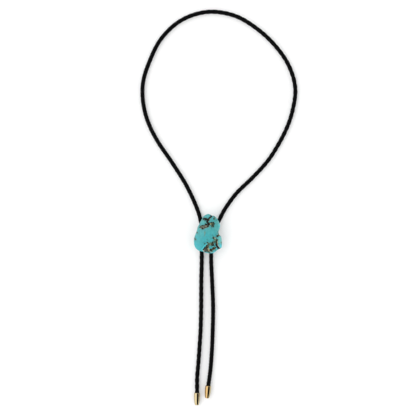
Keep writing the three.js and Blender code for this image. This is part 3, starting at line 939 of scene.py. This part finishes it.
turquoise, tree = new_material("waxed_turquoise_with_matrix")
place = add(tree, "ShaderNodeTexCoord").outputs["Object"]
cloud = add(tree, "ShaderNodeTexNoise", {"Vector": place, "Scale": 1 / CLOUD, "Detail": 3.0})
grit = add(tree, "ShaderNodeTexNoise", {"Vector": place, "Scale": 1 / GRIT, "Detail": 5.0})
speck = add(tree, "ShaderNodeMapRange", {"Value": grit.outputs["Fac"], "From Min": 0.38, "From Max": 0.62})
ragged = add(tree, "ShaderNodeTexNoise", {
    "Vector": place, "Scale": 1 / TORN_EDGE, "Detail": 5.0, "Roughness": 0.65})
wander = add(tree, "ShaderNodeMapRange", {"Value": cloud.outputs["Fac"], "From Min": 0.35, "From Max": 0.65})
upper = blend(tree, wander.outputs["Result"], linear("#4a9795"), linear("#42979c"))
lower = blend(tree, wander.outputs["Result"], linear("#3b989c"), linear("#349ca6"))
up = add(tree, "ShaderNodeSeparateXYZ", {"Vector": place}).outputs["Y"]
fall = add(tree, "ShaderNodeMapRange", {"Value": up, "From Min": FALL_FROM, "From Max": FALL_TO})
colour = blend(tree, fall.outputs["Result"], upper, lower)
mottle = add(tree, "ShaderNodeTexNoise", {
    "Vector": place, "Scale": 1 / MOTTLE, "Detail": 6.0, "Roughness": 0.6})
light_spots = add(tree, "ShaderNodeMapRange", {
    "Value": mottle.outputs["Fac"], "From Min": 0.5, "From Max": 0.75, "To Max": 0.45})
dark_spots = add(tree, "ShaderNodeMapRange", {
    "Value": mottle.outputs["Fac"], "From Min": 0.48, "From Max": 0.28, "To Max": 0.5})
colour = blend(tree, light_spots.outputs["Result"], colour, linear("#63adab"))
colour = blend(tree, dark_spots.outputs["Result"], colour, linear("#2f858b"))
bend = add(tree, "ShaderNodeTexNoise", {"Vector": place, "Scale": 1 / VEIN_BEND, "Detail": 3.0})
bent = add(tree, "ShaderNodeVectorMath", {0: bend.outputs["Color"], 1: (VEIN_SHIFT,) * 3, 2: place},
           operation="MULTIPLY_ADD")
cells = add(tree, "ShaderNodeTexVoronoi", {"Vector": bent.outputs["Vector"], "Scale": 1 / VEIN_CELL},
            feature="DISTANCE_TO_EDGE")
crack = add(tree, "ShaderNodeMapRange", {
    "Value": cells.outputs["Distance"], "From Min": 0.06, "From Max": 0.01})
near = add(tree, "ShaderNodeAttribute", attribute_name="near")
veins = add(tree, "ShaderNodeMath", {0: crack.outputs["Result"], 1: near.outputs["Fac"]},
            operation="MULTIPLY")
colour = blend(tree, veins.outputs["Value"], colour, linear("#3b4a3a"))
worn = None
for layer in LAYERS:
    field = add(tree, "ShaderNodeAttribute", attribute_name=layer["kind"])
    shift = add(tree, "ShaderNodeMath", {
        0: ragged.outputs["Fac"], 1: layer["ragged"], 2: -layer["ragged"] / 2}, operation="MULTIPLY_ADD")
    torn = add(tree, "ShaderNodeMath", {0: field.outputs["Fac"], 1: shift.outputs["Value"]}, operation="ADD")
    mask = add(tree, "ShaderNodeMapRange", {
        "Value": torn.outputs["Value"], "From Min": 0.5 - layer["soft"], "From Max": 0.5 + layer["soft"],
        "To Max": layer["cover"]}, interpolation_type="SMOOTHSTEP")
    tone = blend(tree, speck.outputs["Result"], linear(layer["dark"]), linear(layer["light"]))
    colour = blend(tree, mask.outputs["Result"], colour, tone)
    if layer["kind"] in WORN_KINDS:
        worn = mask.outputs["Result"] if worn is None else add(
            tree, "ShaderNodeMath", {0: worn, 1: mask.outputs["Result"]},
            operation="MAXIMUM").outputs["Value"]
gloss = add(tree, "ShaderNodeMapRange", {"Value": worn, "To Min": 0.3, "To Max": 0.6})
relief = add(tree, "ShaderNodeMapRange", {"Value": worn, "To Min": 0.15, "To Max": 1.0})
height = add(tree, "ShaderNodeMath", {0: mottle.outputs["Fac"], 1: relief.outputs["Result"]},
             operation="MULTIPLY")
pits = add(tree, "ShaderNodeBump", {
    "Height": height.outputs["Value"], "Strength": 0.6, "Distance": PIT_DEPTH})
finish_material(tree, {
    "Base Color": colour, "Roughness": gloss.outputs["Result"], "IOR": 1.61,
    "Specular IOR Level": 0.2, "Normal": pits.outputs["Normal"]})

# %% Setting the stone and the slide
stone = make_piece("turquoise_stone", [shell(stone_rings)], turquoise)
for kind, field in stone_fields.items():
    give_attribute(stone, kind, np.concatenate([field.ravel(), [0, field[-1].mean()]]))
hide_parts("turquoise_nugget")
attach(stone, "root")

strip = make_piece("bent_nickel_slide", [bent_strip()], nickel, sharp_degrees=50)
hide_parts("slide_clip")
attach(strip, "root")

# %% [markdown]
# ## Table and light
#
# The tie lies on a white table in soft light from all round, with something dark hung overhead. A sky that
# is bright at the sides and dark above gives that: flat faces that look up stay rich in colour, round edges
# catch light, and a polished tip shows a dark stripe along its top. The dark patch leans to the right, and
# it is longer along the tie than across it, because directions are squeezed along Y before the angle to its
# middle is measured. A wide soft light from the right makes up for what the patch takes away on that side,
# so the shadow round the stone is the same on both sides. It has no reflection of its own. The table glows a
# little, as a light table does, which keeps the shadows pale.

# %% Table
TABLE_HALF = 3.0
TABLE_LEVEL = -0.02 * MM
TABLE_GLOW = 0.22

matte_white, tree = new_material("matte_white_laminate")
finish_material(tree, {
    "Base Color": linear("#d6d6d6"), "Roughness": 0.9, "Specular IOR Level": 0.1,
    "Emission Color": linear("#ffffff"), "Emission Strength": TABLE_GLOW})
table_mesh = bpy.data.meshes.new("table")
table_mesh.from_pydata(
    [(x * TABLE_HALF, y * TABLE_HALF, TABLE_LEVEL) for x, y in ((-1, -1), (1, -1), (1, 1), (-1, 1))],
    [], [(0, 1, 2, 3)])
table_mesh.materials.append(matte_white)
table = bpy.data.objects.new("table", table_mesh)
bpy.context.scene.collection.objects.link(table)

# %% Soft light
SKY_STRENGTH = 1.9
DARK_LEAN = np.radians(32)
DARK_SQUEEZE = 0.4
FILL_STRENGTH = 2.05
FILL_TILT = np.radians(48)
FILL_WIDTH = np.radians(88)
SKY = [(0.0, "#ffffff"), (0.753, "#f5f5f5"), (0.763, "#8a8a8a"), (0.773, "#0a0a0a"), (1.0, "#030303")]

world = bpy.data.worlds.new("soft_room")
bpy.context.scene.world = world
world.use_nodes = True
tree = world.node_tree
tree.nodes.clear()
direction = add(tree, "ShaderNodeTexCoord").outputs["Generated"]
squeezed = add(tree, "ShaderNodeVectorMath", {0: direction, 1: (1, DARK_SQUEEZE, 1)}, operation="MULTIPLY")
unit = add(tree, "ShaderNodeVectorMath", {0: squeezed.outputs["Vector"]}, operation="NORMALIZE")
toward = add(tree, "ShaderNodeVectorMath", {
    0: unit.outputs["Vector"], 1: (np.sin(DARK_LEAN), 0, np.cos(DARK_LEAN))},
    operation="DOT_PRODUCT").outputs["Value"]
ramp = add(tree, "ShaderNodeValToRGB", {"Fac": toward})
for place_on_ramp, _ in SKY[1:-1]:
    ramp.color_ramp.elements.new(place_on_ramp)
for element, (place_on_ramp, code) in zip(ramp.color_ramp.elements, SKY):
    element.position = place_on_ramp
    element.color = linear(code)
sky = add(tree, "ShaderNodeBackground", {"Color": ramp.outputs["Color"], "Strength": SKY_STRENGTH})
add(tree, "ShaderNodeOutputWorld", {"Surface": sky.outputs["Background"]})

fill_data = bpy.data.lights.new("soft_fill", "SUN")
fill_data.energy = FILL_STRENGTH
fill_data.angle = FILL_WIDTH
fill = bpy.data.objects.new("soft_fill", fill_data)
fill.rotation_euler = (0, FILL_TILT, 0)
fill.visible_glossy = False
bpy.context.scene.collection.objects.link(fill)
bpy.context.scene.view_settings.view_transform = "Standard"
print("sky strength:", SKY_STRENGTH, "fill strength:", FILL_STRENGTH)
